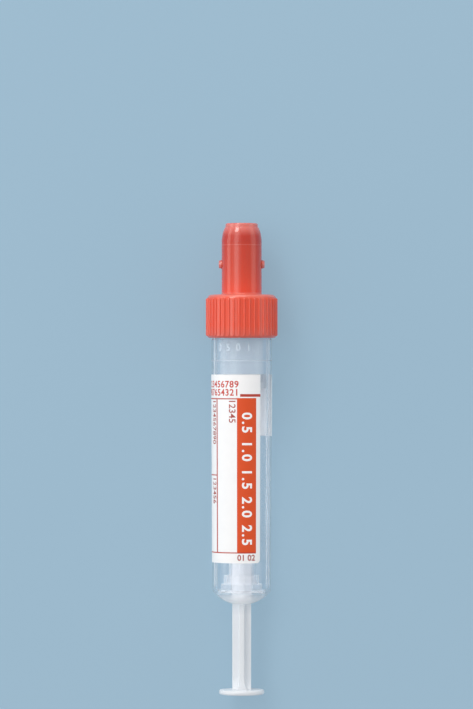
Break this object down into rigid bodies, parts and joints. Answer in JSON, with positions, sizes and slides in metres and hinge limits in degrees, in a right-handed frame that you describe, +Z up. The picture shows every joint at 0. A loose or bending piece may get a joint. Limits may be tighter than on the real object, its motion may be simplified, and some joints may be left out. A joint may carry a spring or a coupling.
{
  "type": "blood collection tube",
  "caption": "Clear aspiration blood tube lying on its side: ribbed screw cap with a slim needle neck, sliding piston, cross-shaped rod with thumb disc, paper label.",
  "frame": {"origin": "centre of the bounding box, on the ground the tube lies on", "axes": "+Y towards the cap, +Z up through the front of the label, +X to the right of the label; the tube's own axis leans up by 1.541 degrees towards the cap"},
  "size_m": [0.0154, 0.1016, 0.0156],
  "materials": {
    "clear_plastic": "clear polished polypropylene",
    "red_plastic": "slightly translucent coral red polyethylene, gloss",
    "membrane_rubber": "matte rubber",
    "milky_plastic": "milky translucent polyethylene",
    "white_plastic": "satin translucent white polypropylene",
    "label_paper": "white coated paper with orange-red print"
  },
  "bodies": {
    "barrel": {"tube": "clear_plastic", "label": "label_paper"},
    "plunger": {"piston": "milky_plastic", "plunger_rod": "white_plastic"},
    "stopper": {"membrane_stopper": "membrane_rubber"},
    "cap": {"screw_cap": "red_plastic"}
  },
  "joints": [
    {"name": "plunger_slide", "type": "slide", "parent": "barrel", "child": "plunger", "axis": [0, -0.9996, -0.0269], "range_m": [0, 0.0275]},
    {"name": "cap_rise", "type": "slide", "parent": "barrel", "child": "stopper", "axis": [0, 0.9996, 0.0269], "range_m": [0, 0.009]},
    {"name": "cap_turn", "type": "hinge", "parent": "stopper", "child": "cap", "pos_m": [0, 0.03383, 0.00791], "axis": [0, 0.9996, 0.0269], "range_deg": [0, 1080]}
  ],
  "couplings": [
    {"joint": "cap_turn", "follows": "cap_rise", "rad_per_m": 2094.4}
  ]
}
